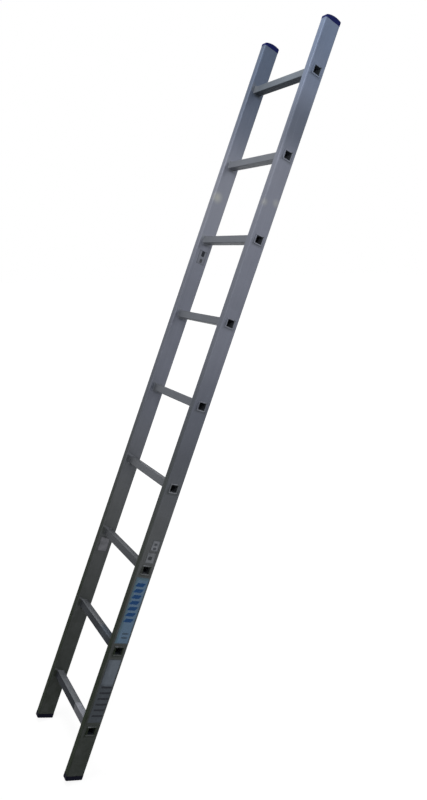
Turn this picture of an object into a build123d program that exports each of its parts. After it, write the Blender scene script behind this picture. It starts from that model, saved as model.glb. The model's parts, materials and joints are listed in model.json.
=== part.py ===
# Leaning ladder: two box-section stiles, square rungs swaged through them, plastic feet and
# top caps, and the bare label films stuck to the stiles.
# +Z is up, +Y points to the wall that the ladder leans on, +X to the climber's right.
# The origin is on the floor, midway between the feet, under the rear edges of their soles.
import os
from math import cos, radians, sin

from build123d import *

os.makedirs("parts", exist_ok=True)

# Stance
lean_angle = 22.0  # degrees from the vertical

# Stiles: box extrusions
overall_width = 360.0  # over the stiles' outer faces
stile_depth = 60.0  # front to back
stile_thickness = 28.0  # along the rungs
stile_edge_radius = 5.0
stile_side_wall = 1.3  # the wide walls, which the rungs pass through
stile_edge_wall = 1.8  # the front and rear walls
stile_bore_radius = 3.2
end_margin = 159.0  # from a stile's end to the centre of the nearest rung

# Rungs: square tubes, grooved on the treads
rung_count = 9
rung_pitch = 280.0
rung_side = 26.0
rung_edge_radius = 3.0
rung_wall = 1.2
rung_bore_radius = 1.5
rung_fit = 0.1  # gap round a rung in the stile's holes
tread_groove_count = 5
tread_groove_pitch = 4.0
tread_groove_width = 1.4
tread_groove_depth = 0.5

# Swaged rung ends: a collar over the outer face and a bead against the inner face
collar_width = 3.5  # how far the collar stands out past the tube's faces
collar_height = 2.5
collar_corner_radius = 5.0
collar_edge_radius = 1.6
collar_mouth_radius = 0.8
bead_width = 2.0
bead_height = 2.0
bead_corner_radius = 4.0
bead_edge_radius = 1.2

# Feet and top caps: plastic heads on ribbed plugs
foot_height = 16.0
cap_front_lip = 7.5  # height of a top cap at its front edge
cap_rear_lip = 14.0  # and at its rear edge
cap_crown = 6.0  # rise of its arched top above the line between them
cap_overhang = 0.5  # how far a head stands proud of the stile all round
sole_edge_radius = 2.0
cap_edge_radius = 2.0
sole_groove_count = 5
sole_groove_pitch = 10.0
sole_groove_width = 3.0
sole_groove_depth = 1.5
plug_length = 40.0
plug_wall = 2.5
plug_clearance = 0.5
plug_lead_in = 1.0  # chamfer at a plug's tip
plug_rib_width = 2.0
plug_rib_spacing = 30.0
plug_rib_clearance = 0.05

# Label films, placed by their gaps to the rungs' swaged ends and to the edges of the flat face
film_thickness = 0.25
film_corner_radius = 2.0
main_label_rung_number = 2  # the rung below the label
main_label_gap = 9.0
main_label_side_gap = 1.0
lower_label_rung_number = 1
lower_label_gap = 13.0
lower_label_side_gap = 1.5
small_label_rung_number = 3
small_label_gap = 6.0
small_label_length = 39.0
small_label_rear_gap = 5.5
small_lower_front_gap = 10.0
small_upper_front_gap = 15.0
small_label_spacing = 3.5
inner_low_rung_number = 3  # the rung above the label
inner_low_gap = 5.0
inner_low_length = 57.0
inner_low_front_gap = 4.0
inner_low_rear_gap = 6.5
inner_high_rung_number = 7
inner_high_gap = 23.0
inner_high_length = 50.0
inner_high_front_gap = 11.0
inner_high_rear_gap = 6.0

# Derived sizes
stile_length = 2 * end_margin + (rung_count - 1) * rung_pitch
outer_face = overall_width / 2
inner_face = outer_face - stile_thickness
stile_centre = outer_face - stile_thickness / 2
stile_top = foot_height + stile_length
flat_width = stile_depth - 2 * stile_edge_radius
bore_thickness = stile_thickness - 2 * stile_side_wall
bore_depth = stile_depth - 2 * stile_edge_wall
collar_side = rung_side + 2 * collar_width
bead_side = rung_side + 2 * bead_width
plug_thickness = bore_thickness - 2 * plug_clearance
plug_depth = bore_depth - 2 * plug_clearance
plug_corner_radius = stile_bore_radius - plug_clearance
plug_rib_height = plug_clearance - plug_rib_clearance
head_thickness = stile_thickness + 2 * cap_overhang
head_depth = stile_depth + 2 * cap_overhang
head_corner_radius = stile_edge_radius + cap_overhang
sides = {"left": -1, "right": 1}

# The ladder's own directions as it leans
lean = radians(lean_angle)
along_rung = Vector(1, 0, 0)
to_wall = Vector(0, cos(lean), -sin(lean))
up_stile = Vector(0, sin(lean), cos(lean))
stile_axis = Axis((0, 0, 0), up_stile)

# The rounded rear edges of the soles touch the floor along one line through the origin.
sole_edge_centre = to_wall * (head_depth / 2 - sole_edge_radius) + up_stile * sole_edge_radius
sole_centre = Vector(0, 0, sole_edge_radius) - sole_edge_centre


def rung_height(number):
    """Distance up the stile from the sole to a rung's axis, rungs counted from the floor."""
    return foot_height + end_margin + (number - 1) * rung_pitch


def section_plane(across, height):
    """Plane square to the stiles, with x along the rungs and y towards the wall."""
    place = sole_centre + along_rung * across + up_stile * height
    return Plane(origin=place, x_dir=along_rung, z_dir=up_stile)


def face_plane(across, height=0.0):
    """Plane square to the rungs, with x towards the wall and y up the stile."""
    place = sole_centre + along_rung * across + up_stile * height
    return Plane(origin=place, x_dir=to_wall, z_dir=along_rung)


def save(piece, name):
    piece.label = name
    export_step(piece, f"parts/{name}.step")


# Stiles: a hollow section, pierced through both wide walls at each rung
for side_name, side in sides.items():
    with BuildPart() as stile:
        with BuildSketch(section_plane(side * stile_centre, foot_height)):
            RectangleRounded(stile_thickness, stile_depth, stile_edge_radius)
            RectangleRounded(bore_thickness, bore_depth, stile_bore_radius, mode=Mode.SUBTRACT)
        extrude(amount=stile_length)
        with BuildSketch(face_plane(side * stile_centre)):
            with Locations([(0, rung_height(n)) for n in range(1, rung_count + 1)]):
                hole_side = rung_side + 2 * rung_fit
                RectangleRounded(hole_side, hole_side, rung_edge_radius + rung_fit)
        extrude(amount=stile_thickness, both=True, mode=Mode.SUBTRACT)
    save(stile.part, f"stile_{side_name}")

# Rungs: a grooved square tube through both stiles, swaged over at each end
lowest = rung_height(1)
with BuildPart() as rung:
    with BuildSketch(face_plane(0, lowest)):
        RectangleRounded(rung_side, rung_side, rung_edge_radius)
        with GridLocations(tread_groove_pitch, rung_side, tread_groove_count, 2):
            Rectangle(tread_groove_width, 2 * tread_groove_depth, mode=Mode.SUBTRACT)
    extrude(amount=outer_face, both=True)
    for side in sides.values():
        with BuildSketch(face_plane(side * outer_face, lowest)):
            RectangleRounded(collar_side, collar_side, collar_corner_radius)
        extrude(amount=side * collar_height)
        with BuildSketch(face_plane(side * inner_face, lowest)):
            RectangleRounded(bead_side, bead_side, bead_corner_radius)
        extrude(amount=-side * bead_height)
    with BuildSketch(face_plane(0, lowest)):
        bore_side = rung_side - 2 * rung_wall
        RectangleRounded(bore_side, bore_side, rung_bore_radius)
    extrude(amount=outer_face + collar_height, both=True, mode=Mode.SUBTRACT)
    for end in (0, -1):
        fillet(rung.faces().sort_by(Axis.X)[end].outer_wire().edges(), collar_edge_radius)
        mouth = rung.faces().sort_by(Axis.X)[end].inner_wires()[0]
        fillet(mouth.edges(), collar_mouth_radius)
    for side in sides.values():
        square_faces = rung.faces().filter_by(Axis.X)
        bead_place = side * (inner_face - bead_height)
        bead_face = square_faces.sort_by(lambda face: abs(face.center().X - bead_place))[0]
        fillet(bead_face.outer_wire().edges(), bead_edge_radius)

for number in range(1, rung_count + 1):
    climb = up_stile * (rung_height(number) - lowest)
    save(rung.part.moved(Location(climb)), f"rung_{number}")


def plug(plane):
    """Hollow ribbed plug that fills a stile's bore from the plane along its normal."""
    with BuildPart() as ribbed_plug:
        with BuildSketch(plane):
            RectangleRounded(plug_thickness, plug_depth, plug_corner_radius)
        extrude(amount=plug_length)
        tip = ribbed_plug.faces().sort_by(Axis(plane.origin, plane.z_dir))[-1]
        chamfer(tip.edges(), plug_lead_in)
        with BuildSketch(plane):
            with GridLocations(plug_thickness, plug_rib_spacing, 2, 2):
                Rectangle(2 * plug_rib_height, plug_rib_width)
            with GridLocations(0, plug_depth, 1, 2):
                Rectangle(plug_rib_width, 2 * plug_rib_height)
        extrude(amount=plug_length - plug_lead_in)
        with BuildSketch(plane):
            Rectangle(plug_thickness - 2 * plug_wall, plug_depth - 2 * plug_wall)
        extrude(amount=plug_length, mode=Mode.SUBTRACT)
    return ribbed_plug.part


# Feet: a flat sole with cross grooves, and a plug up into the stile
for side_name, side in sides.items():
    across = side * stile_centre
    foot_plug = plug(section_plane(across, foot_height))
    with BuildPart() as foot:
        with BuildSketch(section_plane(across, 0)):
            RectangleRounded(head_thickness, head_depth, head_corner_radius)
        extrude(amount=foot_height)
        fillet(foot.faces().sort_by(stile_axis)[0].edges(), sole_edge_radius)
        with BuildSketch(section_plane(across, 0)):
            with GridLocations(0, sole_groove_pitch, 1, sole_groove_count):
                Rectangle(head_thickness, sole_groove_width)
        extrude(amount=sole_groove_depth, mode=Mode.SUBTRACT)
        add(foot_plug)
    save(foot.part, f"foot_{side_name}")

# Top caps: a head arched from a low front to a high rear, and a plug down into the stile
for side_name, side in sides.items():
    across = side * stile_centre
    stile_end = section_plane(across, stile_top)
    cap_plug = plug(Plane(origin=stile_end.origin, x_dir=along_rung, z_dir=-up_stile))
    with BuildPart() as top_cap:
        with BuildSketch(stile_end):
            RectangleRounded(head_thickness, head_depth, head_corner_radius)
        extrude(amount=cap_rear_lip + cap_crown)
        with BuildSketch(face_plane(across, stile_top)):
            with BuildLine():
                lip_front = (-head_depth / 2, cap_front_lip)
                lip_rear = (head_depth / 2, cap_rear_lip)
                crown_top = (0, (cap_front_lip + cap_rear_lip) / 2 + cap_crown)
                ThreePointArc(lip_front, crown_top, lip_rear)
                Polyline(lip_rear, (head_depth / 2, 0), (-head_depth / 2, 0), lip_front)
            make_face()
        extrude(amount=head_thickness, both=True, mode=Mode.INTERSECT)
        fillet(top_cap.faces().sort_by(stile_axis)[-1].edges(), cap_edge_radius)
        add(cap_plug)
    save(top_cap.part, f"top_cap_{side_name}")


def film(plane, front_gap, rear_gap, low, high):
    """Label film on a stile's flat face, between two heights and two gaps to the face's edges."""
    with BuildPart() as label:
        with BuildSketch(plane):
            with Locations(((front_gap - rear_gap) / 2, (low + high) / 2)):
                RectangleRounded(flat_width - front_gap - rear_gap, high - low, film_corner_radius)
        extrude(amount=film_thickness)
    return label.part


# Labels on the right stile's outer face
right_face = face_plane(outer_face)
collar_reach = collar_side / 2

low = rung_height(main_label_rung_number) + collar_reach + main_label_gap
high = rung_height(main_label_rung_number + 1) - collar_reach - main_label_gap
main_film = film(right_face, main_label_side_gap, main_label_side_gap, low, high)
save(main_film, "label_main")

low = rung_height(lower_label_rung_number) + collar_reach + lower_label_gap
high = rung_height(lower_label_rung_number + 1) - collar_reach - lower_label_gap
lower_film = film(right_face, lower_label_side_gap, lower_label_side_gap, low, high)
save(lower_film, "label_lower")

low = rung_height(small_label_rung_number) + collar_reach + small_label_gap
high = low + small_label_length
small_film = film(right_face, small_lower_front_gap, small_label_rear_gap, low, high)
save(small_film, "label_small_lower")

low = high + small_label_spacing
high = low + small_label_length
small_film = film(right_face, small_upper_front_gap, small_label_rear_gap, low, high)
save(small_film, "label_small_upper")

# Labels on the left stile's inner face
left_inner_face = face_plane(-inner_face)
bead_reach = bead_side / 2

high = rung_height(inner_low_rung_number) - bead_reach - inner_low_gap
low = high - inner_low_length
inner_film = film(left_inner_face, inner_low_front_gap, inner_low_rear_gap, low, high)
save(inner_film, "label_inner_low")

high = rung_height(inner_high_rung_number) - bead_reach - inner_high_gap
low = high - inner_high_length
inner_film = film(left_inner_face, inner_high_front_gap, inner_high_rear_gap, low, high)
save(inner_film, "label_inner_high")
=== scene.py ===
# Leaning ladder: finishes, label prints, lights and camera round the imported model, in metres
import json
import math

import bmesh
import bpy
from mathutils import Matrix, Vector


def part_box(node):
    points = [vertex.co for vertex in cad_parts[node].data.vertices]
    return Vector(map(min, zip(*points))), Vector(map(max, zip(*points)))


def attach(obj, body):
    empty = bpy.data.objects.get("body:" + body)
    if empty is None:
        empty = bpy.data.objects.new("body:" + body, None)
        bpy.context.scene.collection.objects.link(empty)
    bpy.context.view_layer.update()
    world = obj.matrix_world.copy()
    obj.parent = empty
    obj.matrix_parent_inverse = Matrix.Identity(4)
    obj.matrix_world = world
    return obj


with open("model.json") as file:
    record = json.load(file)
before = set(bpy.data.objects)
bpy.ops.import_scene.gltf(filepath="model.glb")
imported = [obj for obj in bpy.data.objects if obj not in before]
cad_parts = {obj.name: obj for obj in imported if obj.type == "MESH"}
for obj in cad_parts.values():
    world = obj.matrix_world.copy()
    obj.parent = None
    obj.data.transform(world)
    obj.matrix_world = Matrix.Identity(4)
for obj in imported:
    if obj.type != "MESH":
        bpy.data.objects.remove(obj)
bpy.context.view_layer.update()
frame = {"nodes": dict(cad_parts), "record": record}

scene = bpy.context.scene
nodes = frame["nodes"]
mounts = {mount["name"]: mount for mount in frame["record"]["mounts"]}

# The ladder's own directions: up a stile and towards the wall, read from the mounts, and along the rungs
upStile = -Vector(mounts["foot_sole_right"]["axis"])
toWall = Vector(mounts["wall_rest_right"]["axis"])
alongRung = Vector((1, 0, 0))
lean = math.atan2(upStile.y, upStile.z)


def spanAlong(name, direction):
    reach = [vertex.co.dot(direction) for vertex in nodes[name].data.vertices]
    return min(reach), max(reach)


def middle(span):
    return (span[0] + span[1]) / 2


def halfLength(span):
    return (span[1] - span[0]) / 2


# Sizes, read from the pieces
collarBorder = 0.0035  # width of a rung's swaged collar round its square tube
soleHeight = spanAlong("foot_right", upStile)[0]
ladderTop = spanAlong("top_cap_right", upStile)[1] - soleHeight
stileMiddle = middle(spanAlong("stile_right", toWall))
stileHalfDepth = halfLength(spanAlong("stile_right", toWall))
stileInner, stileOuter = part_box("stile_right")[0].x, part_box("stile_right")[1].x
lowestRung = middle(spanAlong("rung_1", upStile)) - soleHeight
secondRung = middle(spanAlong("rung_2", upStile)) - soleHeight
rungPitch = secondRung - lowestRung
collarHalf = halfLength(spanAlong("rung_1", upStile))
tubeHalf = collarHalf - collarBorder
print("frame: lean", round(math.degrees(lean), 2), "deg, rung pitch", round(rungPitch, 4))

# What the materials share
noiseLow, noiseHigh = 0.3, 0.7  # most of a noise texture's values lie between these
bumpReach = 0.0002  # depth of the bumps in every finish


# sRGB hex to linear colour
def hexColor(text):
    channels = [int(text[i:i + 2], 16) / 255 for i in (1, 3, 5)]
    linear = [c / 12.92 if c <= 0.04045 else ((c + 0.055) / 1.055) ** 2.4 for c in channels]
    return (*linear, 1.0)


def perMm(sizeMm):
    return 1000.0 / sizeMm  # texture scale for a feature of that size, on coordinates in metres


def addNode(tree, kind, inputs=None, output=None, **settings):
    node = tree.nodes.new(kind)
    for name, value in settings.items():
        setattr(node, name, value)
    for key, value in (inputs or {}).items():
        socket = node.inputs[key] if isinstance(key, int) else next(
            s for s in node.inputs if s.name == key and s.enabled)
        if isinstance(value, bpy.types.NodeSocket):
            tree.links.new(value, socket)
        else:
            socket.default_value = value
    if output:
        return node.outputs[output]
    return next((s for s in node.outputs if s.enabled), None)


def newMaterial(name):
    material = bpy.data.materials.new(name)
    material.use_nodes = True
    material.node_tree.nodes.clear()
    return material, material.node_tree


# Object coordinates turned upright, from the soles and the middle of the stiles' depth
def ladderPlace(tree):
    return addNode(tree, "ShaderNodeMapping", {
        "Vector": addNode(tree, "ShaderNodeTexCoord", output="Object"),
        "Rotation": (lean, 0, 0), "Location": (0, -stileMiddle, -soleHeight)})


# x along the rungs, d towards the wall, s up the stile from the sole
def ladderAxes(tree, place):
    axes = addNode(tree, "ShaderNodeSeparateXYZ", {"Vector": place}).node.outputs
    return axes["X"], axes["Y"], axes["Z"]


# Height above the axis of the nearest rung, the same at every rung
def aboveRung(tree, s):
    fromLowest = addNode(tree, "ShaderNodeMath", {0: s, 1: lowestRung}, operation="SUBTRACT")
    return addNode(tree, "ShaderNodeMath", {
        0: fromLowest, 1: rungPitch / 2, 2: -rungPitch / 2}, operation="WRAP")


# Square distance from the nearest rung's axis, in the plane of the stile's wide face
def squareAround(tree, d, s):
    offAxis = addNode(tree, "ShaderNodeMath", {0: d}, operation="ABSOLUTE")
    offRung = addNode(tree, "ShaderNodeMath", {0: aboveRung(tree, s)}, operation="ABSOLUTE")
    return addNode(tree, "ShaderNodeMath", {0: offAxis, 1: offRung}, operation="MAXIMUM")


# Extruded aluminium, mill finish: a soft grey sheen, die lines along the length, clouds of oxide,
# bluer at the top as a painted reflection of sky, and green-black towards the floor, partly site dirt and
# partly painted shade
metalLook = {
    "skyReflectionFrom": 2.05, "lowTone": "#84868a", "lowFrom": 1.35, "lowTo": 0.75,
    "grimeAndShadeFrom": 1.5, "grimeAndShadeTo": -0.25, "grimeAndShadeDepth": 0.77,
    "cloudMm": 120, "cloudDepth": 0.10,
    "patchMm": 38, "patchLow": 0.25, "patchHigh": 0.75, "patchDepth": 0.18,
    "dieLineMm": 2.6, "dieLineLengthMm": 620, "dieLineDepth": 0.05,  # real lines are finer, these show
    "metallic": 0.30, "dirtMetallic": 0.06, "specular": 0.09,
    "roughness": 0.46, "roughnessDepth": 0.05, "dirtRoughness": 0.20,
}
rungAxis, stileAxis = 0, 2  # the axis that the die lines follow


def weatheredMetal(tree, place, s, lineAxis, tone, skyReflectionTone):
    look = metalLook
    # painted reflection of sky: a bluer tone towards the top
    skyReflection = addNode(tree, "ShaderNodeMapRange", {
        "Value": s, "From Min": look["skyReflectionFrom"], "From Max": ladderTop}, interpolation_type="SMOOTHSTEP")
    color = addNode(tree, "ShaderNodeMix", {"Factor": skyReflection, "A": tone, "B": skyReflectionTone}, data_type="RGBA")
    plain = addNode(tree, "ShaderNodeMapRange", {
        "Value": s, "From Min": look["lowFrom"], "From Max": look["lowTo"]},
        interpolation_type="SMOOTHSTEP")
    color = addNode(tree, "ShaderNodeMix", {
        "Factor": plain, "A": color, "B": hexColor(look["lowTone"])}, data_type="RGBA")
    cloud = addNode(tree, "ShaderNodeTexNoise", {
        "Vector": place, "Scale": perMm(look["cloudMm"]), "Detail": 5.0, "Roughness": 0.62})
    stretch = [perMm(look["dieLineMm"])] * 3
    stretch[lineAxis] = perMm(look["dieLineLengthMm"])
    lines = addNode(tree, "ShaderNodeTexNoise", {
        "Vector": addNode(tree, "ShaderNodeMapping", {"Vector": place, "Scale": stretch}),
        "Scale": 1.0, "Detail": 3.0, "Roughness": 0.7})
    for pattern, depth in ((cloud, look["cloudDepth"]), (lines, look["dieLineDepth"])):
        shade = addNode(tree, "ShaderNodeMapRange", {
            "Value": pattern, "From Min": noiseLow, "From Max": noiseHigh,
            "To Min": 1 - depth, "To Max": 1 + depth})
        color = addNode(tree, "ShaderNodeMix", {
            "Factor": 1.0, "A": color, "B": shade}, data_type="RGBA", blend_type="MULTIPLY")
    patch = addNode(tree, "ShaderNodeTexNoise", {
        "Vector": place, "Scale": perMm(look["patchMm"]), "Detail": 6.0, "Roughness": 0.65})
    # darker towards the floor: site dirt and painted shade
    low = addNode(tree, "ShaderNodeMapRange", {
        "Value": s, "From Min": look["grimeAndShadeFrom"], "From Max": look["grimeAndShadeTo"],
        "To Max": look["grimeAndShadeDepth"]}, interpolation_type="SMOOTHSTEP")
    spread = addNode(tree, "ShaderNodeMapRange", {
        "Value": patch, "From Min": look["patchLow"], "From Max": look["patchHigh"],
        "To Min": 1 - look["patchDepth"], "To Max": 1 + look["patchDepth"]})
    dirt = addNode(tree, "ShaderNodeMath", {0: low, 1: spread}, operation="MULTIPLY")
    return color, dirt, {"cloud": cloud, "lines": lines, "patch": patch}


def metalSurface(tree, color, grimeAndShade, dirt, textures, bumpStrength):
    look = metalLook
    # the dirt mask carries real dirt, painted shade and, where lowered, painted highlights
    soiledAndShaded = addNode(tree, "ShaderNodeMix", {"Factor": dirt, "A": color, "B": grimeAndShade}, data_type="RGBA")
    metallic = addNode(tree, "ShaderNodeMapRange", {
        "Value": dirt, "To Min": look["metallic"], "To Max": look["dirtMetallic"]})
    gloss = addNode(tree, "ShaderNodeMapRange", {
        "Value": textures["cloud"], "From Min": noiseLow, "From Max": noiseHigh,
        "To Min": look["roughness"] - look["roughnessDepth"],
        "To Max": look["roughness"] + look["roughnessDepth"]})
    rough = addNode(tree, "ShaderNodeMath", {
        0: dirt, 1: look["dirtRoughness"], 2: gloss}, operation="MULTIPLY_ADD", use_clamp=True)
    bump = addNode(tree, "ShaderNodeBump", {
        "Strength": bumpStrength, "Distance": bumpReach, "Height": textures["lines"]})
    surface = addNode(tree, "ShaderNodeBsdfPrincipled", {
        "Base Color": soiledAndShaded, "Metallic": metallic, "Roughness": rough,
        "Specular IOR Level": look["specular"], "Normal": bump})
    addNode(tree, "ShaderNodeOutputMaterial", {"Surface": surface})


# Stiles: dirt and painted shade under the swaged rung ends, hand dirt and painted shade on the front face,
# corners rubbed bare with painted highlights, painted reflections along some lengths and from the rungs,
# and a few painted highlight spots
leftStile, rightStile = (-0.10, -0.15), (0.145, 0.18)  # x where a painted dark or bright reflection length starts and is full
stileLook = {
    "tone": "#8a8e9c", "skyReflectionTone": "#7f8ea9", "grimeAndShade": "#3a4335", "bump": 0.35, "innerFaceMm": 0.3,
    "ringMm": 9.0, "ringDepth": 0.45,
    "frontFrom": 2.15, "frontTo": 0.75, "frontDepth": 0.52, "frontMm": 2.2,
    "frontMiddle": 1.0, "frontSide": 0.70, "frontLow": 0.45, "frontLowShare": 0.50,
    "cornerMm": 5.0, "cornerShare": 0.38, "cornerRubAndHighlight": 0.04, "cornerFrom": 1.2, "cornerTo": 1.8,
    "streakSlope": 0.35, "reflectionLight": 0.32, "reflectionDark": 0.17, "streakFrom": 1.6, "streakTo": 1.0,
    "streakLiftMm": 3.0, "streakHalfMm": 4.0, "streakOutMm": 1.0, "streakInMm": 3.0,
    "entryLight": 0.6, "entryFrom": 1.5, "entryTo": 1.8,
    "reflectionLengths": (
        {"tone": "#3a4552", "side": leftStile, "at": 2.60, "reach": 0.52, "full": 0.18, "depth": 0.42},
        {"tone": "#a8acb8", "side": leftStile, "at": 2.00, "reach": 0.26, "full": 0.10, "depth": 0.32},
        {"tone": "#3a4552", "side": rightStile, "at": 2.235, "reach": 0.13, "full": 0.02, "depth": 0.46},
        {"tone": "#3a4552", "side": rightStile, "at": 1.17, "reach": 0.33, "full": 0.08, "depth": 0.22}),
    "highlightSpotTone": "#bcbdb8", "highlightSpots": (
        {"at": (180, -26, 1971), "reachMm": 18, "depth": 0.45},
        {"at": (180, 17, 1984), "reachMm": 19, "depth": 0.45},
        {"at": (-152, -16, 2012), "reachMm": 28, "depth": 0.85}),
    "scratchMm": 0.9, "scratchLengthMm": 70, "scratchAndHighlightTone": "#a2a6ad", "scratchTurn": 0.12,
    "scratchFrom": 0.66, "scratchTo": 0.74, "scratchDepth": 0.5,  # wider than real scratches, to show
}


def stileFinish():
    look = stileLook
    material, tree = newMaterial("stileAluminium")
    place = ladderPlace(tree)
    x, d, s = ladderAxes(tree, place)
    color, dirt, textures = weatheredMetal(
        tree, place, s, stileAxis, hexColor(look["tone"]), hexColor(look["skyReflectionTone"]))
    halfThick = (stileOuter - stileInner) / 2
    outward = addNode(tree, "ShaderNodeMath", {
        0: addNode(tree, "ShaderNodeMath", {0: x}, operation="ABSOLUTE"),
        1: (stileInner + stileOuter) / 2}, operation="SUBTRACT")
    offMiddle = addNode(tree, "ShaderNodeMath", {0: outward}, operation="ABSOLUTE")
    onInner = addNode(tree, "ShaderNodeMath", {
        0: outward, 1: look["innerFaceMm"] / 1000 - halfThick}, operation="LESS_THAN")
    offInner = addNode(tree, "ShaderNodeMath", {0: 1.0, 1: onInner}, operation="SUBTRACT")
    # dirt and painted shade gather under each rung end, on the inner face only behind the rung's axis
    ring = addNode(tree, "ShaderNodeMapRange", {
        "Value": squareAround(tree, d, s), "From Min": collarHalf + look["ringMm"] / 1000,
        "From Max": collarHalf, "To Max": look["ringDepth"]}, interpolation_type="SMOOTHSTEP")
    under = addNode(tree, "ShaderNodeMapRange", {
        "Value": aboveRung(tree, s), "From Min": collarHalf / 2, "From Max": -collarHalf / 2})
    behind = addNode(tree, "ShaderNodeMapRange", {"Value": d, "From Min": -tubeHalf, "From Max": 0.0})
    behind = addNode(tree, "ShaderNodeMath", {0: behind, 1: offInner}, operation="MAXIMUM")
    for share in (under, textures["patch"], behind):
        ring = addNode(tree, "ShaderNodeMath", {0: ring, 1: share}, operation="MULTIPLY")
    # hand dirt and painted shade darken the front face, most along its middle
    front = addNode(tree, "ShaderNodeMapRange", {
        "Value": d, "From Min": look["frontMm"] / 1000 - stileHalfDepth, "From Max": -stileHalfDepth,
        "To Max": look["frontDepth"]})
    used = addNode(tree, "ShaderNodeMapRange", {
        "Value": s, "From Min": look["frontFrom"], "From Max": look["frontTo"]},
        interpolation_type="SMOOTHSTEP")
    splashed = addNode(tree, "ShaderNodeMapRange", {
        "Value": s, "From Max": look["frontLow"], "To Min": look["frontLowShare"]})
    central = addNode(tree, "ShaderNodeMapRange", {
        "Value": offMiddle, "From Max": halfThick,
        "To Min": look["frontMiddle"], "To Max": look["frontSide"]})
    for share in (used, splashed, central):
        front = addNode(tree, "ShaderNodeMath", {0: front, 1: share}, operation="MULTIPLY")
    # the four rounded corners are rubbed, with a painted highlight along them
    offDepth = addNode(tree, "ShaderNodeMath", {0: d}, operation="ABSOLUTE")
    toCorner = addNode(tree, "ShaderNodeMath", {0: offMiddle, 1: offDepth}, operation="ADD")
    cornerStart = halfThick + stileHalfDepth - look["cornerMm"] / 1000
    corner = addNode(tree, "ShaderNodeMapRange", {
        "Value": toCorner, "From Min": cornerStart,
        "From Max": cornerStart + look["cornerMm"] * look["cornerShare"] / 1000})
    handled = addNode(tree, "ShaderNodeMapRange", {
        "Value": s, "From Min": look["cornerFrom"], "From Max": look["cornerTo"],
        "To Max": look["cornerRubAndHighlight"]})
    corner = addNode(tree, "ShaderNodeMath", {0: corner, 1: handled}, operation="MULTIPLY")
    # on the inner face a thin and a broad streak slant forward and up from where each rung enters: painted
    # reflections of the rung, light along the thin one and dark along the broad one lower down
    fromEntry = addNode(tree, "ShaderNodeMath", {0: d, 1: tubeHalf}, operation="ADD")
    across = addNode(tree, "ShaderNodeMath", {
        0: fromEntry, 1: look["streakSlope"], 2: aboveRung(tree, s)}, operation="MULTIPLY_ADD")
    streaks = []
    for level, wide, start in (
            (tubeHalf + look["streakLiftMm"] / 1000, look["streakHalfMm"] / 1000, tubeHalf),
            (0.0, tubeHalf, -tubeHalf)):
        off = addNode(tree, "ShaderNodeMath", {0: across, 1: level}, operation="SUBTRACT")
        off = addNode(tree, "ShaderNodeMath", {0: off}, operation="ABSOLUTE")
        streak = onInner
        for value, limit in ((off, wide), (d, start)):
            within = addNode(tree, "ShaderNodeMapRange", {
                "Value": value, "From Min": limit + look["streakOutMm"] / 1000,
                "From Max": limit - look["streakInMm"] / 1000})
            streak = addNode(tree, "ShaderNodeMath", {0: streak, 1: within}, operation="MULTIPLY")
        streaks.append(streak)
    thin, broad = streaks
    light = addNode(tree, "ShaderNodeMath", {0: thin, 1: look["reflectionLight"]}, operation="MULTIPLY")
    lower = addNode(tree, "ShaderNodeMapRange", {
        "Value": s, "From Min": look["streakFrom"], "From Max": look["streakTo"],
        "To Max": look["reflectionDark"]})
    darkReflection = addNode(tree, "ShaderNodeMath", {0: broad, 1: lower}, operation="MULTIPLY")
    # higher up, painted light along the broad streak lifts the shade in front of each rung's entry
    upperLit = addNode(tree, "ShaderNodeMapRange", {
        "Value": s, "From Min": look["entryFrom"], "From Max": look["entryTo"], "To Max": look["entryLight"]})
    entryLit = addNode(tree, "ShaderNodeMath", {0: broad, 1: upperLit}, operation="MULTIPLY")
    # bare gathers the painted reflection, the rubbed and highlighted corners and the painted light at the
    # entries
    bare = addNode(tree, "ShaderNodeMath", {0: light, 1: corner}, operation="MAXIMUM")
    bare = addNode(tree, "ShaderNodeMath", {0: bare, 1: entryLit}, operation="MAXIMUM")
    wipedAndLit = addNode(tree, "ShaderNodeMath", {0: bare, 1: -1.0}, operation="MULTIPLY")
    for more in (ring, front, darkReflection, wipedAndLit):
        dirt = addNode(tree, "ShaderNodeMath", {0: dirt, 1: more}, operation="ADD", use_clamp=True)
    # these take the scratch tone, as painted highlights and reflections
    color = addNode(tree, "ShaderNodeMix", {
        "Factor": bare, "A": color, "B": hexColor(look["scratchAndHighlightTone"])}, data_type="RGBA")
    # painted reflections: lengths of the stiles mixed darker or brighter
    for length in look["reflectionLengths"]:
        side = addNode(tree, "ShaderNodeMapRange", {
            "Value": x, "From Min": length["side"][0], "From Max": length["side"][1]})
        away = addNode(tree, "ShaderNodeMath", {0: s, 1: length["at"]}, operation="SUBTRACT")
        away = addNode(tree, "ShaderNodeMath", {0: away}, operation="ABSOLUTE")
        faint = addNode(tree, "ShaderNodeMapRange", {
            "Value": away, "From Min": length["reach"], "From Max": length["full"],
            "To Max": length["depth"]}, interpolation_type="SMOOTHSTEP")
        faint = addNode(tree, "ShaderNodeMath", {0: faint, 1: side}, operation="MULTIPLY")
        color = addNode(tree, "ShaderNodeMix", {
            "Factor": faint, "A": color, "B": hexColor(length["tone"])}, data_type="RGBA")
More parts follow.
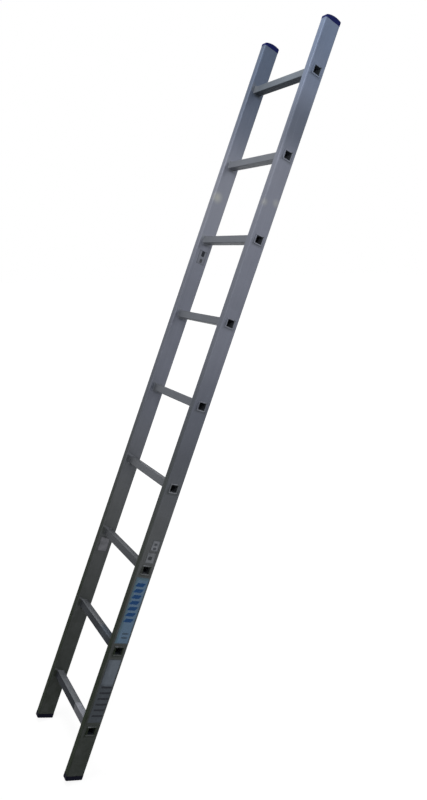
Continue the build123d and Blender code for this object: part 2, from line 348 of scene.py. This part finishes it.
    # painted highlights: a few pale spots on the stiles
    for spot in look["highlightSpots"]:
        away = addNode(tree, "ShaderNodeVectorMath", {
            0: place, 1: [mm / 1000 for mm in spot["at"]]}, output="Value", operation="DISTANCE")
        pale = addNode(tree, "ShaderNodeMapRange", {
            "Value": away, "From Min": spot["reachMm"] / 1000, "From Max": 0.0,
            "To Max": spot["depth"]}, interpolation_type="SMOOTHSTEP")
        color = addNode(tree, "ShaderNodeMix", {
            "Factor": pale, "A": color, "B": hexColor(look["highlightSpotTone"])}, data_type="RGBA")
    scratch = addNode(tree, "ShaderNodeTexNoise", {
        "Vector": addNode(tree, "ShaderNodeMapping", {
            "Vector": place, "Rotation": (look["scratchTurn"], 0.0, 0.0),
            "Scale": [perMm(look[key]) for key in ("scratchMm", "scratchMm", "scratchLengthMm")]}),
        "Scale": 1.0, "Detail": 2.0})
    scratched = addNode(tree, "ShaderNodeMapRange", {
        "Value": scratch, "From Min": look["scratchFrom"], "From Max": look["scratchTo"],
        "To Max": look["scratchDepth"]})
    color = addNode(tree, "ShaderNodeMix", {
        "Factor": scratched, "A": color, "B": hexColor(look["scratchAndHighlightTone"])}, data_type="RGBA")
    metalSurface(tree, color, hexColor(look["grimeAndShade"]), dirt, textures, look["bump"])
    return material


# Rungs: the same metal, treads rubbed brighter by boots, undersides painted light but for the top one,
# which has painted shade
rungLook = {
    "tone": "#858991", "skyReflectionTone": "#848f9a", "grimeAndShade": "#353b44", "bump": 0.30,
    "wallMm": 1.2, "collarFaceMm": 0.5, "treadFromMm": 1.4, "treadToMm": 0.8,
    "dust": 0.06, "grimeShare": 0.5, "rubbedDirt": 0.2,
    "rubbedAndLit": "#a1a5ab", "rubDepth": 0.86, "rubEnd": 0.135, "rubFade": 0.05,
    "rubLow": 0.2, "rubHigh": 0.7, "rubHighShare": 0.18,
    "edgeRub": 0.45, "edgeFromMm": -1.0, "edgeToMm": -9.0, "edgeHigh": 1.1, "edgeLow": 0.6,
    "rearShade": 0.45, "rearFromMm": 7.0, "rearToMm": 3.0,
    "paintedLightUnderTone": "#b4b8be", "paintedLightUnderDepth": 0.55, "paintedShadeUnder": 0.48, "topRungFrom": 2.2, "topRungTo": 2.35,
    "paintedShadeEnd": 0.34, "paintedShadeEndFromX": 0.03375, "paintedShadeEndToX": -0.135,
    "lowRungReach": 0.5, "lowRungDepth": 0.48, "lowRungLeft": 0.75, "treadLeft": 0.15, "lowRungRight": 1.3,
    "leftEndLight": 0.6, "leftEndFromX": -0.122, "leftEndToX": -0.15, "leftEndFrom": 1.5, "leftEndTo": 1.8,
    "patchBelow": 0.58, "brightAndReflectedPatches": (
        {"at": (92, 0, 188), "tone": "#d6d9e4", "fromMm": 54, "toMm": 44, "depth": 0.95},
        {"at": (75, 0, 468), "tone": "#56708e", "fromMm": 60, "toMm": 20, "depth": 0.5}),
    "boreDark": 0.5, "boreFrom": 0.6, "boreTo": 1.2,
    "lipMm": 1.0, "rimMm": 1.3, "lipDepth": 0.5, "lipFrom": 0.9, "lipTo": 2.0, "lipHighShare": 0.25,
}


def rungFinish():
    look = rungLook
    material, tree = newMaterial("rungAluminium")
    place = ladderPlace(tree)
    x, d, s = ladderAxes(tree, place)
    offMiddle = addNode(tree, "ShaderNodeMath", {0: x}, operation="ABSOLUTE")
    onCollar = addNode(tree, "ShaderNodeMath", {
        0: offMiddle, 1: stileOuter - look["collarFaceMm"] / 1000}, operation="GREATER_THAN")
    # the swaged ends have the stile's tones
    tone, skyReflectionTone, grimeAndShade = (addNode(tree, "ShaderNodeMix", {
        "Factor": onCollar, "A": hexColor(look[key]), "B": hexColor(stileLook[key])}, data_type="RGBA")
        for key in ("tone", "skyReflectionTone", "grimeAndShade"))
    color, dirt, textures = weatheredMetal(tree, place, s, rungAxis, tone, skyReflectionTone)
    share = addNode(tree, "ShaderNodeMapRange", {"Value": onCollar, "To Min": look["grimeShare"]})
    dirt = addNode(tree, "ShaderNodeMath", {0: dirt, 1: share, 2: look["dust"]}, operation="MULTIPLY_ADD")
    # the tread, and the underside between the stiles
    height = aboveRung(tree, s)
    treadFrom = tubeHalf - look["treadFromMm"] / 1000
    treadTo = tubeHalf - look["treadToMm"] / 1000
    tread = addNode(tree, "ShaderNodeMapRange", {
        "Value": height, "From Min": treadFrom, "From Max": treadTo})
    below = addNode(tree, "ShaderNodeMapRange", {
        "Value": height, "From Min": -treadFrom, "From Max": -treadTo})
    between = addNode(tree, "ShaderNodeMath", {0: offMiddle, 1: stileInner}, operation="LESS_THAN")
    below = addNode(tree, "ShaderNodeMath", {0: below, 1: between}, operation="MULTIPLY")
    notBelow = addNode(tree, "ShaderNodeMath", {0: 1.0, 1: below}, operation="SUBTRACT")
    # painted shade under the top rung and at its left end
    topmost = addNode(tree, "ShaderNodeMapRange", {
        "Value": s, "From Min": look["topRungFrom"], "From Max": look["topRungTo"]})
    paintedShadeBelow = addNode(tree, "ShaderNodeMath", {0: below, 1: topmost}, operation="MULTIPLY")
    paintedLightBelow = addNode(tree, "ShaderNodeMath", {0: below, 1: paintedShadeBelow}, operation="SUBTRACT")
    paintedLightBelow = addNode(tree, "ShaderNodeMath", {0: paintedLightBelow, 1: look["paintedLightUnderDepth"]}, operation="MULTIPLY")
    paintedShadeBelow = addNode(tree, "ShaderNodeMath", {0: paintedShadeBelow, 1: look["paintedShadeUnder"]}, operation="MULTIPLY")
    paintedShadeEnd = addNode(tree, "ShaderNodeMapRange", {
        "Value": x, "From Min": look["paintedShadeEndFromX"], "From Max": look["paintedShadeEndToX"],
        "To Max": look["paintedShadeEnd"]})
    for share in (topmost, notBelow):
        paintedShadeEnd = addNode(tree, "ShaderNodeMath", {0: paintedShadeEnd, 1: share}, operation="MULTIPLY")
    color = addNode(tree, "ShaderNodeMix", {
        "Factor": paintedLightBelow, "A": color, "B": hexColor(look["paintedLightUnderTone"])}, data_type="RGBA")
    # darker from the second rung down, most towards the right ends and least on the left of the treads
    fromSecondRung = addNode(tree, "ShaderNodeMath", {0: s, 1: secondRung}, operation="SUBTRACT")
    lowRungDark = addNode(tree, "ShaderNodeMapRange", {
        "Value": fromSecondRung, "From Min": look["lowRungReach"], "From Max": collarHalf,
        "To Max": look["lowRungDepth"]})
    leftward = addNode(tree, "ShaderNodeMapRange", {
        "Value": tread, "To Min": look["lowRungLeft"], "To Max": look["treadLeft"]})
    rightward = addNode(tree, "ShaderNodeMapRange", {
        "Value": x, "From Min": -look["rubEnd"], "From Max": look["rubEnd"],
        "To Min": leftward, "To Max": look["lowRungRight"]})
    lowRungDark = addNode(tree, "ShaderNodeMath", {0: lowRungDark, 1: rightward}, operation="MULTIPLY")
    for more in (paintedShadeBelow, lowRungDark, paintedShadeEnd):
        dirt = addNode(tree, "ShaderNodeMath", {0: dirt, 1: more}, operation="ADD", use_clamp=True)
    # boots rub the treads, most near the floor, and their front edges
    rubbedAndLit = addNode(tree, "ShaderNodeMapRange", {
        "Value": x, "From Min": look["rubEnd"], "From Max": look["rubEnd"] - look["rubFade"],
        "To Max": look["rubDepth"]}, interpolation_type="SMOOTHSTEP")
    often = addNode(tree, "ShaderNodeMapRange", {
        "Value": s, "From Min": look["rubLow"], "From Max": look["rubHigh"],
        "To Min": 1.0, "To Max": look["rubHighShare"]})
    for share in (tread, often):
        rubbedAndLit = addNode(tree, "ShaderNodeMath", {0: rubbedAndLit, 1: share}, operation="MULTIPLY")
    edge = addNode(tree, "ShaderNodeMapRange", {
        "Value": d, "From Min": look["edgeFromMm"] / 1000, "From Max": look["edgeToMm"] / 1000,
        "To Max": look["edgeRub"]})
    lowDown = addNode(tree, "ShaderNodeMapRange", {
        "Value": s, "From Min": look["edgeHigh"], "From Max": look["edgeLow"]})
    for share in (tread, lowDown):
        edge = addNode(tree, "ShaderNodeMath", {0: edge, 1: share}, operation="MULTIPLY")
    rubbedAndLit = addNode(tree, "ShaderNodeMath", {0: rubbedAndLit, 1: edge}, operation="ADD", use_clamp=True)
    color = addNode(tree, "ShaderNodeMix", {
        "Factor": rubbedAndLit, "A": color, "B": hexColor(look["rubbedAndLit"])}, data_type="RGBA")
    # painted light on the left ends of the upper rungs
    litLeftEnd = addNode(tree, "ShaderNodeMapRange", {
        "Value": x, "From Min": look["leftEndFromX"], "From Max": look["leftEndToX"], "To Max": look["leftEndLight"]})
    upperLit = addNode(tree, "ShaderNodeMapRange", {
        "Value": s, "From Min": look["leftEndFrom"], "From Max": look["leftEndTo"]})
    for share in (upperLit, notBelow):
        litLeftEnd = addNode(tree, "ShaderNodeMath", {0: litLeftEnd, 1: share}, operation="MULTIPLY")
    color = addNode(tree, "ShaderNodeMix", {
        "Factor": litLeftEnd, "A": color, "B": hexColor(look["rubbedAndLit"])}, data_type="RGBA")
    rubbedAndLit = addNode(tree, "ShaderNodeMath", {0: rubbedAndLit, 1: litLeftEnd}, operation="MAXIMUM")
    # a bright patch on the lowest rung's tread, and a painted reflection of the blue label on the next
    # tread
    onTread = addNode(tree, "ShaderNodeMapRange", {"Value": tread, "To Min": look["patchBelow"]})
    for patch in look["brightAndReflectedPatches"]:
        away = addNode(tree, "ShaderNodeVectorMath", {
            0: place, 1: [mm / 1000 for mm in patch["at"]]}, output="Value", operation="DISTANCE")
        near = addNode(tree, "ShaderNodeMapRange", {
            "Value": away, "From Min": patch["fromMm"] / 1000, "From Max": patch["toMm"] / 1000,
            "To Max": patch["depth"]}, interpolation_type="SMOOTHSTEP")
        near = addNode(tree, "ShaderNodeMath", {0: near, 1: onTread}, operation="MULTIPLY")
        rubbedAndLit = addNode(tree, "ShaderNodeMath", {0: rubbedAndLit, 1: near}, operation="MAXIMUM")
        color = addNode(tree, "ShaderNodeMix", {
            "Factor": near, "A": color, "B": hexColor(patch["tone"])}, data_type="RGBA")
    clean = addNode(tree, "ShaderNodeMapRange", {
        "Value": rubbedAndLit, "To Min": 1.0, "To Max": look["rubbedDirt"]})
    dirt = addNode(tree, "ShaderNodeMath", {0: dirt, 1: clean}, operation="MULTIPLY")
    # painted shade along the rear of the treads, and darker bores in the upper rungs
    behind = addNode(tree, "ShaderNodeMapRange", {
        "Value": d, "From Min": tubeHalf - look["rearFromMm"] / 1000,
        "From Max": tubeHalf - look["rearToMm"] / 1000, "To Max": look["rearShade"]})
    behind = addNode(tree, "ShaderNodeMath", {0: behind, 1: tread}, operation="MULTIPLY")
    boreHalf = tubeHalf - look["wallMm"] / 1000
    inBore = addNode(tree, "ShaderNodeMath", {
        0: squareAround(tree, d, s), 1: (boreHalf + tubeHalf) / 2}, operation="LESS_THAN")
    darkBore = addNode(tree, "ShaderNodeMapRange", {
        "Value": s, "From Min": look["boreFrom"], "From Max": look["boreTo"], "To Max": look["boreDark"]})
    darkBore = addNode(tree, "ShaderNodeMath", {0: darkBore, 1: inBore}, operation="MULTIPLY")
    for more in (behind, darkBore):
        dirt = addNode(tree, "ShaderNodeMath", {0: dirt, 1: more}, operation="ADD", use_clamp=True)
    # painted highlights on the swaged end's lower lip and on its upper and lower rims
    lip = addNode(tree, "ShaderNodeMath", {
        0: height, 1: -boreHalf - look["lipMm"] / 1000, 2: look["lipMm"] / 1000}, operation="COMPARE")
    rim = addNode(tree, "ShaderNodeMath", {
        0: addNode(tree, "ShaderNodeMath", {0: height}, operation="ABSOLUTE"),
        1: collarHalf - look["rimMm"] / 1000, 2: look["rimMm"] / 1000}, operation="COMPARE")
    lip = addNode(tree, "ShaderNodeMath", {0: lip, 1: rim}, operation="MAXIMUM")
    lipShare = addNode(tree, "ShaderNodeMapRange", {
        "Value": s, "From Min": look["lipFrom"], "From Max": look["lipTo"],
        "To Min": look["lipDepth"], "To Max": look["lipDepth"] * look["lipHighShare"]})
    for share in (onCollar, lipShare):
        lip = addNode(tree, "ShaderNodeMath", {0: lip, 1: share}, operation="MULTIPLY")
    dirt = addNode(tree, "ShaderNodeMath", {0: dirt, 1: lip}, operation="SUBTRACT", use_clamp=True)
    color = addNode(tree, "ShaderNodeMix", {
        "Factor": lip, "A": color, "B": hexColor(look["rubbedAndLit"])}, data_type="RGBA")
    metalSurface(tree, color, grimeAndShade, dirt, textures, look["bump"])
    return material


# Moulded polypropylene: matt and dark, a fine spark-eroded grain, scuffed paler on worn places
plasticLook = {
    "grainMm": 1.1, "grainBump": 0.25,  # coarser than the real grain, to show
    "scuffFrom": 0.52, "scuffTo": 0.72, "scuffDepth": 0.6,
    "smoother": 0.06, "rougher": 0.1, "specular": 0.08,
}
plasticTones = {
    "capPlastic": {"color": "#20296a", "scuff": "#363e70", "scuffMm": 14, "roughness": 0.55},
    "footPlastic": {"color": "#0a0b20", "scuff": "#17192c", "scuffMm": 10, "roughness": 0.62},
}


def plasticFinish(name):
    look = {**plasticLook, **plasticTones[name]}
    material, tree = newMaterial(name)
    place = ladderPlace(tree)
    scuff = addNode(tree, "ShaderNodeTexNoise", {
        "Vector": place, "Scale": perMm(look["scuffMm"]), "Detail": 6.0, "Roughness": 0.7})
    worn = addNode(tree, "ShaderNodeMapRange", {
        "Value": scuff, "From Min": look["scuffFrom"], "From Max": look["scuffTo"],
        "To Max": look["scuffDepth"]})
    color = addNode(tree, "ShaderNodeMix", {
        "Factor": worn, "A": hexColor(look["color"]), "B": hexColor(look["scuff"])}, data_type="RGBA")
    rough = addNode(tree, "ShaderNodeMapRange", {
        "Value": scuff, "From Min": noiseLow, "From Max": noiseHigh,
        "To Min": look["roughness"] - look["smoother"], "To Max": look["roughness"] + look["rougher"]})
    grain = addNode(tree, "ShaderNodeTexNoise", {
        "Vector": place, "Scale": perMm(look["grainMm"]), "Detail": 2.0})
    bump = addNode(tree, "ShaderNodeBump", {
        "Strength": look["grainBump"], "Distance": bumpReach, "Height": grain})
    surface = addNode(tree, "ShaderNodeBsdfPrincipled", {
        "Base Color": color, "Roughness": rough, "Specular IOR Level": look["specular"], "Normal": bump})
    addNode(tree, "ShaderNodeOutputMaterial", {"Surface": surface})
    return material


# Metallised polyester film: a smooth silver-blue face, rubbed grey at the rims and scuffed with dirt
filmLook = {
    "blotchMm": 24, "blotchFrom": 0.42, "blotchTo": 0.7, "blotchBump": 0.1, "rimDepth": 0.85,
    "bandFadeMm": 3.0, "metallic": 0.25, "roughness": 0.34, "wornRoughness": 0.6,
}
filmTones = {
    "label_main": {"color": "#6485a4", "worn": "#5c6f7e", "rimMm": 5.0, "dirt": 0.35,
                   "band": "#527586", "bandMm": 10.0},
    "label_lower": {"color": "#6f7a87", "worn": "#474e56", "rimMm": 4.0, "dirt": 0.35, "fades": (
        {"edge": "low", "fromMm": 138, "toMm": 122, "depth": 0.9},
        {"edge": "front", "fromMm": 19, "toMm": 6, "depth": 0.45})},
    "label_small_upper": {"color": "#999da5", "worn": "#606468", "rimMm": 6.0, "dirt": 0.5},
    "label_small_lower": {"color": "#8a8e94", "worn": "#5a5d61", "rimMm": 6.0, "dirt": 0.55},
    "label_inner_low": {"color": "#84858c", "worn": "#56585c", "rimMm": 6.0, "dirt": 0.75},
    "label_inner_high": {"color": "#767a86", "worn": "#6b6f7a", "rimMm": 5.0, "dirt": 0.3},
}


def filmFinish(label):
    look = {**filmLook, **filmTones[label]}
    material, tree = newMaterial(label.replace("label_", "film_"))
    place = ladderPlace(tree)
    _, d, s = ladderAxes(tree, place)
    # distances from the film's four edges, and from the nearest
    front, rear = (reach - stileMiddle for reach in spanAlong(label, toWall))
    low, high = (reach - soleHeight for reach in spanAlong(label, upStile))
    edges = {}
    for edge, more, less in (("front", d, front), ("rear", rear, d), ("low", s, low), ("high", high, s)):
        edges[edge] = addNode(tree, "ShaderNodeMath", {0: more, 1: less}, operation="SUBTRACT")
    nearest = edges["front"]
    for edge in ("rear", "low", "high"):
        nearest = addNode(tree, "ShaderNodeMath", {0: nearest, 1: edges[edge]}, operation="MINIMUM")
    rim = addNode(tree, "ShaderNodeMapRange", {
        "Value": nearest, "From Min": look["rimMm"] / 1000, "From Max": 0.0},
        interpolation_type="SMOOTHSTEP")
    blotch = addNode(tree, "ShaderNodeTexNoise", {
        "Vector": place, "Scale": perMm(look["blotchMm"]), "Detail": 7.0, "Roughness": 0.68})
    stain = addNode(tree, "ShaderNodeMapRange", {
        "Value": blotch, "From Min": look["blotchFrom"], "From Max": look["blotchTo"],
        "To Max": look["dirt"]})
    worn = addNode(tree, "ShaderNodeMath", {
        0: rim, 1: look["rimDepth"], 2: stain}, operation="MULTIPLY_ADD", use_clamp=True)
    # the lower film darkens over its lowest part, and painted shade darkens its front edge
    for fade in look.get("fades", ()):
        faded = addNode(tree, "ShaderNodeMapRange", {
            "Value": edges[fade["edge"]], "From Min": fade["fromMm"] / 1000,
            "From Max": fade["toMm"] / 1000, "To Max": fade["depth"]})
        worn = addNode(tree, "ShaderNodeMath", {0: worn, 1: faded}, operation="ADD", use_clamp=True)
    color = hexColor(look["color"])
    if "band" in look:
        fromBand = addNode(tree, "ShaderNodeMath", {
            0: edges["front"], 1: edges["high"]}, operation="MINIMUM")
        band = addNode(tree, "ShaderNodeMapRange", {
            "Value": fromBand, "From Min": look["bandMm"] / 1000,
            "From Max": (look["bandMm"] - look["bandFadeMm"]) / 1000})
        color = addNode(tree, "ShaderNodeMix", {
            "Factor": band, "A": color, "B": hexColor(look["band"])}, data_type="RGBA")
    color = addNode(tree, "ShaderNodeMix", {
        "Factor": worn, "A": color, "B": hexColor(look["worn"])}, data_type="RGBA")
    rough = addNode(tree, "ShaderNodeMapRange", {
        "Value": worn, "To Min": look["roughness"], "To Max": look["wornRoughness"]})
    bump = addNode(tree, "ShaderNodeBump", {
        "Strength": look["blotchBump"], "Distance": bumpReach, "Height": blotch})
    surface = addNode(tree, "ShaderNodeBsdfPrincipled", {
        "Base Color": color, "Metallic": look["metallic"], "Roughness": rough, "Normal": bump})
    addNode(tree, "ShaderNodeOutputMaterial", {"Surface": surface})
    return material


finishes = {"stile_": stileFinish(), "rung_": rungFinish(),
            "foot_": plasticFinish("footPlastic"), "top_cap_": plasticFinish("capPlastic")}
for name, node in nodes.items():
    if name in filmTones:
        finish = filmFinish(name)
    else:
        finish = next(finish for start, finish in finishes.items() if name.startswith(start))
    node.data.materials.clear()
    node.data.materials.append(finish)
print("finishes:", len(bpy.data.materials), "materials")


# Screen ink: flat colour, worn through to a paler tone in small patches
inkLook = {"rubMm": 9, "rubFrom": 0.5, "rubTo": 0.72, "rubDepth": 0.7, "roughness": 0.5, "specular": 0.25}
inkTones = {
    "blueInk": {"color": "#3069ae", "worn": "#5f86b4"},
    "darkInk": {"color": "#20252f", "worn": "#41474f"},
    "paleInk": {"color": "#7088a0", "worn": "#788ea4"},
    "fadedInk": {"color": "#585c61", "worn": "#6a6e73"},
    "softInk": {"color": "#777b83", "worn": "#868a91"},
}


def inkFinish(name):
    look = {**inkLook, **inkTones[name]}
    material, tree = newMaterial(name)
    rub = addNode(tree, "ShaderNodeTexNoise", {
        "Vector": ladderPlace(tree), "Scale": perMm(look["rubMm"]), "Detail": 6.0, "Roughness": 0.7})
    bare = addNode(tree, "ShaderNodeMapRange", {
        "Value": rub, "From Min": look["rubFrom"], "From Max": look["rubTo"], "To Max": look["rubDepth"]})
    tone = addNode(tree, "ShaderNodeMix", {
        "Factor": bare, "A": hexColor(look["color"]), "B": hexColor(look["worn"])}, data_type="RGBA")
    surface = addNode(tree, "ShaderNodeBsdfPrincipled", {
        "Base Color": tone, "Roughness": look["roughness"], "Specular IOR Level": look["specular"]})
    addNode(tree, "ShaderNodeOutputMaterial", {"Surface": surface})
    return material


# Label prints: rows of straight or slanted ink bars with rounded corners, all from one tree. Sizes are in
# mm, and first is the lowest bar's middle from the film's own middle, towards the wall and up the stile
labelPrints = {
    "mainBars": {
        "label": "label_main", "ink": "blueInk", "count": 7, "pitch": 20.5, "width": 30, "height": 12.5,
        "slant": 9, "corner": 2.0, "first": (-1, -34)},
    "mainPlate": {
        "label": "label_main", "ink": "paleInk", "count": 2, "pitch": 14, "width": 22, "height": 7,
        "slant": 0, "corner": 1.5, "first": (4, -94)},
    "lowerRows": {
        "label": "label_lower", "ink": "darkInk", "count": 6, "pitch": 20, "width": 38, "height": 6.5,
        "slant": 0, "corner": 1.0, "first": (3, -87)},
    "lowSpot": {
        "label": "label_small_lower", "ink": "fadedInk", "count": 1, "pitch": 1, "width": 14, "height": 13,
        "slant": 0, "corner": 3.0, "first": (-2, -1)},
    "highSpots": {
        "label": "label_small_upper", "ink": "softInk", "count": 2, "pitch": 14, "width": 12, "height": 9,
        "slant": 0, "corner": 3.0, "first": (0, -10)},
    "innerMark": {
        "label": "label_inner_high", "ink": "darkInk", "count": 1, "pitch": 1, "width": 12, "height": 20,
        "slant": 0, "corner": 2.5, "first": (0, 13.5)},
    "innerFaintMark": {
        "label": "label_inner_high", "ink": "fadedInk", "count": 1, "pitch": 1, "width": 10, "height": 15,
        "slant": 0, "corner": 2.5, "first": (0, -12)},
}
inkDepth = 0.00006
cornerSteps = 4
weldDistance = 1e-6


def barPrintTree():
    group = bpy.data.node_groups.new("barPrint", "GeometryNodeTree")
    sockets = {"Count": "Int", "Pitch": "Float", "Width": "Float", "Height": "Float", "Slant": "Float",
               "Corner": "Float", "Depth": "Float", "Ink": "Material"}
    for name, kind in sockets.items():
        group.interface.new_socket(name, in_out="INPUT", socket_type="NodeSocket" + kind)
    group.interface.new_socket("Geometry", in_out="OUTPUT", socket_type="NodeSocketGeometry")
    given = group.nodes.new("NodeGroupInput").outputs
    outline = addNode(group, "GeometryNodeCurvePrimitiveQuadrilateral", {
        "Width": given["Width"], "Height": given["Height"], "Offset": given["Slant"]}, mode="PARALLELOGRAM")
    outline = addNode(group, "GeometryNodeFilletCurve", {
        "Curve": outline, "Count": cornerSteps, "Radius": given["Corner"], "Limit Radius": True},
        mode="POLY")
    back = addNode(group, "GeometryNodeFillCurve", {"Curve": outline}, mode="NGONS")
    bar = addNode(group, "GeometryNodeExtrudeMesh", {
        "Mesh": back, "Offset": addNode(group, "ShaderNodeCombineXYZ", {"Z": 1.0}),
        "Offset Scale": given["Depth"], "Individual": False}, mode="FACES")
    closed = addNode(group, "GeometryNodeJoinGeometry")
    for part in (bar, addNode(group, "GeometryNodeFlipFaces", {"Mesh": back})):
        group.links.new(part, closed.node.inputs["Geometry"])
    closed = addNode(group, "GeometryNodeMergeByDistance", {"Geometry": closed, "Distance": weldDistance})
    row = addNode(group, "GeometryNodeMeshLine", {
        "Count": given["Count"], "Offset": addNode(group, "ShaderNodeCombineXYZ", {"Y": given["Pitch"]})})
    bars = addNode(group, "GeometryNodeInstanceOnPoints", {"Points": row, "Instance": closed})
    bars = addNode(group, "GeometryNodeRealizeInstances", {"Geometry": bars})
    bars = addNode(group, "GeometryNodeSetMaterial", {"Geometry": bars, "Material": given["Ink"]})
    addNode(group, "NodeGroupOutput", {"Geometry": bars})
    return group


inks = {name: inkFinish(name) for name in inkTones}
printTree = barPrintTree()
printItems = [item for item in printTree.interface.items_tree if item.in_out == "INPUT"]
printSockets = {item.name: item.identifier for item in printItems}
for name, look in labelPrints.items():
    holder = bpy.data.objects.new(name + "Holder", bpy.data.meshes.new(name + "Holder"))
    scene.collection.objects.link(holder)
    bars = holder.modifiers.new("bars", "NODES")
    bars.node_group = printTree
    sizes = {key.capitalize(): look[key] / 1000 for key in ("pitch", "width", "height", "slant", "corner")}
    sizes.update({"Count": look["count"], "Depth": inkDepth, "Ink": inks[look["ink"]]})
    for socket, value in sizes.items():
        bars[printSockets[socket]] = value
    depsgraph = bpy.context.evaluated_depsgraph_get()
    mesh = bpy.data.meshes.new_from_object(holder.evaluated_get(depsgraph), depsgraph=depsgraph)
    bpy.data.objects.remove(holder)
    label = look["label"]
    first = (toWall * (middle(spanAlong(label, toWall)) + look["first"][0] / 1000)
             + upStile * (middle(spanAlong(label, upStile)) + look["first"][1] / 1000)
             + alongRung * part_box(label)[1].x)
    turn = Matrix((toWall, upStile, alongRung)).transposed()
    mesh.transform(Matrix.LocRotScale(first, turn.to_quaternion(), None))
    shape = bmesh.new()
    shape.from_mesh(mesh)
    bmesh.ops.recalc_face_normals(shape, faces=shape.faces)
    shape.to_mesh(mesh)
    shape.free()
    piece = bpy.data.objects.new(name, mesh)
    mesh.name = name
    scene.collection.objects.link(piece)
    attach(piece, "root")
print("prints:", len(labelPrints), "pieces")

# Camera, from the photograph's rung ends and stile outlines
photoCamera = {
    "place": (1.9142, -0.5108, 1.7094),
    "azimuth": 59.73,  # degrees, 0 looks along +Y
    "pitchDown": 13.48,
    "focalPixels": 638.7,
    "imageWidth": 427,
}
cameraData = bpy.data.cameras.new("photoCamera")
cameraData.sensor_fit = "HORIZONTAL"
cameraData.lens = cameraData.sensor_width * photoCamera["focalPixels"] / photoCamera["imageWidth"]
camera = bpy.data.objects.new("photoCamera", cameraData)
camera.location = photoCamera["place"]
camera.rotation_euler = (
    math.radians(90 - photoCamera["pitchDown"]), 0, math.radians(photoCamera["azimuth"]))
scene.collection.objects.link(camera)
scene.camera = camera

# Floor and world: white to the camera and in reflections, plain light on the ladder
stageLook = {
    "floorSize": 60.0, "floorColor": "#b4b4b4", "white": "#ffffff", "worldLight": 0.14,
    "nearGlow": 0.90, "farGlow": 1.0, "glowFrom": 0.5, "glowTo": 3.0,
}


def sightRays(tree):
    paths = tree.nodes.new("ShaderNodeLightPath")
    sight = paths.outputs["Is Camera Ray"]
    for ray in ("Is Glossy Ray", "Is Transmission Ray"):
        sight = addNode(tree, "ShaderNodeMath", {0: sight, 1: paths.outputs[ray]}, operation="MAXIMUM")
    return sight


world = bpy.data.worlds.new("studioWorld")
world.use_nodes = True
tree = world.node_tree
tree.nodes.clear()
strength = addNode(tree, "ShaderNodeMapRange", {
    "Value": sightRays(tree), "To Min": stageLook["worldLight"], "To Max": 1.0})
background = addNode(tree, "ShaderNodeBackground", {
    "Color": hexColor(stageLook["white"]), "Strength": strength})
addNode(tree, "ShaderNodeOutputWorld", {"Surface": background})
scene.world = world

floorMaterial, tree = newMaterial("paleFloor")
matt = addNode(tree, "ShaderNodeBsdfDiffuse", {"Color": hexColor(stageLook["floorColor"])})
fromOrigin = addNode(tree, "ShaderNodeVectorMath", {
    0: addNode(tree, "ShaderNodeTexCoord", output="Object")}, output="Value", operation="LENGTH")
glow = addNode(tree, "ShaderNodeMapRange", {
    "Value": fromOrigin, "From Min": stageLook["glowFrom"], "From Max": stageLook["glowTo"],
    "To Min": stageLook["nearGlow"], "To Max": stageLook["farGlow"]}, interpolation_type="SMOOTHSTEP")
glow = addNode(tree, "ShaderNodeMath", {0: glow, 1: sightRays(tree)}, operation="MULTIPLY")
white = addNode(tree, "ShaderNodeEmission", {"Color": hexColor(stageLook["white"]), "Strength": glow})
lit = addNode(tree, "ShaderNodeAddShader", {0: matt, 1: white})
addNode(tree, "ShaderNodeOutputMaterial", {"Surface": lit})
floorMesh = bpy.data.meshes.new("floor")
half = stageLook["floorSize"] / 2
floorCorners = [(-half, -half, 0), (half, -half, 0), (half, half, 0), (-half, half, 0)]
floorMesh.from_pydata(floorCorners, [], [(0, 1, 2, 3)])
floorMesh.materials.append(floorMaterial)
floor = bpy.data.objects.new("floor", floorMesh)
scene.collection.objects.link(floor)

# Lamps: a soft one over the top of the ladder's front, and two large ones beside it
lamps = {
    "overhead": {"place": (-0.1, -0.1, 3.25), "aim": (0.0, 0.85, 2.1), "size": 0.9, "watts": 10.8},
    "sideFront": {"place": (1.63, 0.18, 2.66), "aim": (0.18, 0.80, 2.05), "size": 0.9, "watts": 7.2},
    "sideRear": {"place": (1.63, 1.68, 2.05), "aim": (0.18, 0.80, 2.05), "size": 0.9, "watts": 3.0},
}
for name, lamp in lamps.items():
    light = bpy.data.lights.new(name, "AREA")
    light.size = lamp["size"]
    light.energy = lamp["watts"]
    lampObject = bpy.data.objects.new(name, light)
    lampObject.location = lamp["place"]
    aim = Vector(lamp["aim"]) - Vector(lamp["place"])
    lampObject.rotation_euler = aim.to_track_quat("-Z", "Y").to_euler()
    scene.collection.objects.link(lampObject)
print("stage:", len(lamps), "lamps")

scene.view_settings.view_transform = "Standard"
